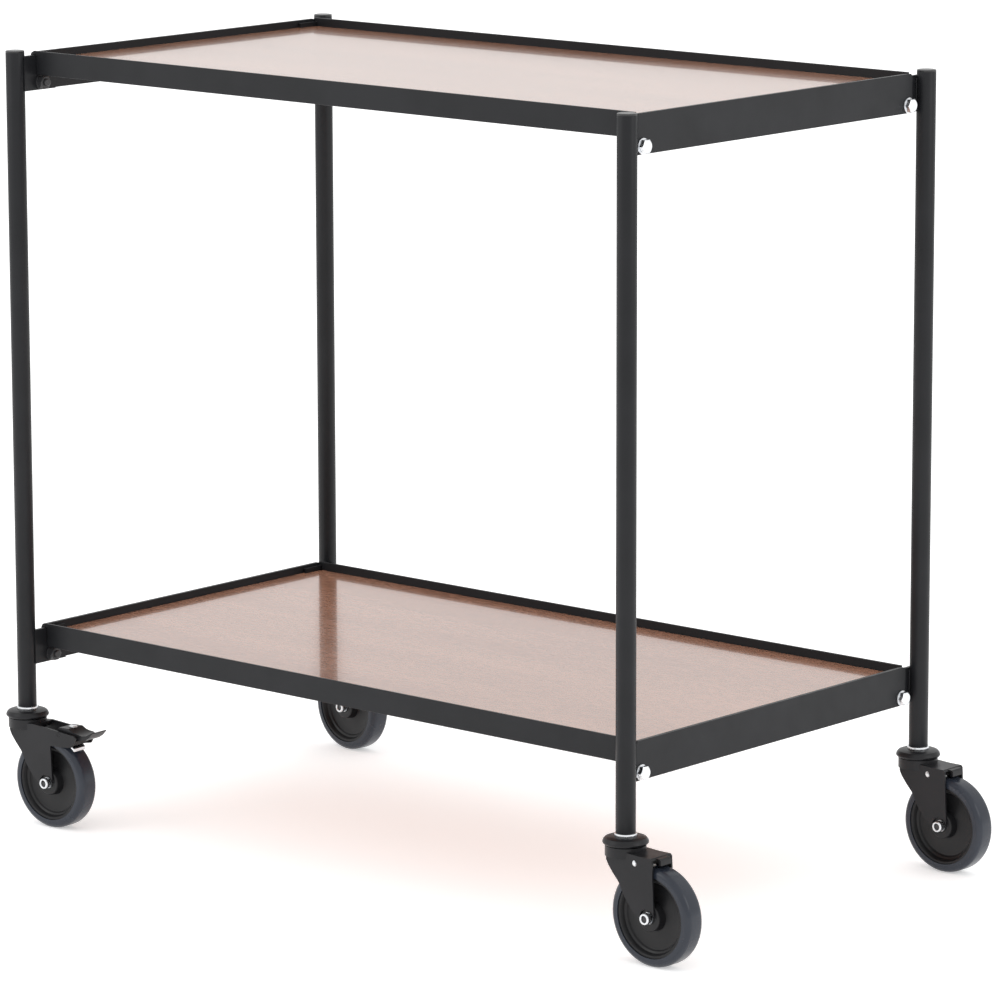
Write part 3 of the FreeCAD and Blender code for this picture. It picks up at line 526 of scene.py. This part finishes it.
def axle_place(corner):
    """Place for a piece whose Z axis is to lie along the castor's axle, from its middle."""
    hub = Vector(joints[f"roll_{corner}"]["pos_m"])
    hub_in_castor = castor_place(corner).inverted() @ hub
    return across(hub_in_castor.x, hub_in_castor.z, corner)


for corner in CORNERS:
    here = axle_place(corner)
    axle = hexagon(hex_flats, axle_head_thick)
    axle.transform(Matrix.Translation((0, 0, fork_half * MM)))
    end = -fork_half - end_past_fork
    shank = turned([(0, end), (2.6, end), (3.3, end + 0.7), (3.3, fork_half + 0.1),
                    (0, fork_half + 0.1)], 32)
    gather(axle, shank, Matrix.Identity(4))
    axle.transform(here)
    # The whole axle bolt is coloured dark, so that its end inside the nut collar shows as painted shade.
    finished(f"axle_{corner}", axle, dark_steel, f"fork_{corner}", "dark_steel",
             f"castor_axle_bolt_{corner}")
    nut = soften(turned([(3.4, 0), (5.8, 0), (5.8, 3.8), (5.2, 4.8), (4.8, 5), (3.9, 5), (3.4, 4.2)],
                        48), 0.2 * MM)
    nut.transform(here @ Matrix.Translation((0, 0, -fork_half * MM)) @ Matrix.Rotation(math.pi, 4, "X"))
    finished(f"axle_nut_{corner}", nut, zinc, f"fork_{corner}", "zinc", f"castor_axle_nut_{corner}")

# ---- wheels ----
# Moulded black wheel centres with a recessed web and a stepped barrel, and blue-grey rubber
# tyres with deep round shoulders, 100 mm across.

wheel_plastic = coated("wheel_plastic", (0.008, 0.008, 0.009), (0.012, 0.012, 0.013), 0.36, 0.0015, 0.00006,
                       gloss_level=0.3)
rubber = coated("grey_rubber", (0.018, 0.0225, 0.033), (0.025, 0.0305, 0.043), 0.24, 0.0009, 0.00004,
                gloss_level=0.4)


def both_sides(half):
    """Profile of a wheel from its half on one side: (radius, width) in millimetres."""
    return half + [(radius, -width) for radius, width in reversed(half)]


rim_radius, tyre_radius, tyre_half = 41, 50, 12
shoulder, moulded_edge = 6 * MM, 0.3 * MM
wheel_steps = 96


def on_the_tread(edge):
    """Whether an edge runs along the outside of the tyre."""
    return min(vert.co.xy.length for vert in edge.verts) > (tyre_radius - 1) * MM


for corner in CORNERS:
    here = axle_place(corner)
    centre = turned(both_sides([
        (6.05, 13), (12.6, 13), (13.5, 12.1), (14.6, 3.6), (33.4, 3.2), (34.6, 5.2), (36.6, 6.2),
        (38, 10.2), (38.8, 11), (rim_radius, 11)]), wheel_steps)
    centre = soften(centre, moulded_edge)
    centre.transform(here)
    finished(f"wheel_centre_{corner}", centre, wheel_plastic, f"wheel_{corner}", "wheel_plastic",
             f"castor_rim_{corner}")
    tyre = turned(both_sides([(rim_radius, tyre_half), (tyre_radius, tyre_half)]), wheel_steps)
    tyre = soften(tyre, shoulder, 7, on_the_tread)
    tyre.transform(here)
    finished(f"rubber_tyre_{corner}", tyre, rubber, f"wheel_{corner}", "tyre_rubber",
             f"castor_tyre_{corner}")

# ---- brakes ----
# A black cast pedal between the fork's wings on each left castor.  Its zinc shoe hangs on an
# adjusting screw just off the tread, and the pedal turns on a plain pin.

cast_edge, shoe_edge = 0.6 * MM, 0.35 * MM
screw_head_thick = 1.2
pedal_pin = (60 * MM, 105.8 * MM)
for corner in ("front_left", "back_left"):
    pedal = soften(merged_copy(f"brake_pedal_{corner}"), cast_edge)
    finished(f"foot_pedal_{corner}", pedal, castor_black, f"brake_{corner}", "castor_paint",
             f"brake_pedal_{corner}", flat_sided=True)
    shoe = soften(merged_copy(f"brake_shoe_{corner}"), shoe_edge)
    finished(f"tread_shoe_{corner}", shoe, zinc, f"brake_{corner}", "zinc", f"brake_shoe_{corner}")
    low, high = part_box(f"brake_screw_{corner}")
    foot, top = low.z / MM, high.z / MM
    seat = top - screw_head_thick
    screw = turned([(0, foot), (2.3, foot), (2.5, foot + 0.3), (2.5, seat), (4.5, seat),
                    (4.5, top - 0.7), (3.9, top - 0.2), (2.6, top), (0, top)], 40)
    screw.transform(Matrix.Translation(upright((low, high))))
    finished(f"set_screw_{corner}", screw, zinc, f"brake_{corner}", "zinc", f"brake_screw_{corner}")
    pin = turned([(0, -fork_half), (2.1, -fork_half), (2.5, -fork_half + 0.4),
                  (2.5, fork_half - 0.4), (2.1, fork_half), (0, fork_half)], 32)
    pin.transform(across(*pedal_pin, corner))
    finished(f"pedal_pin_{corner}", pin, castor_black, f"fork_{corner}", "castor_paint",
             f"brake_pin_{corner}")
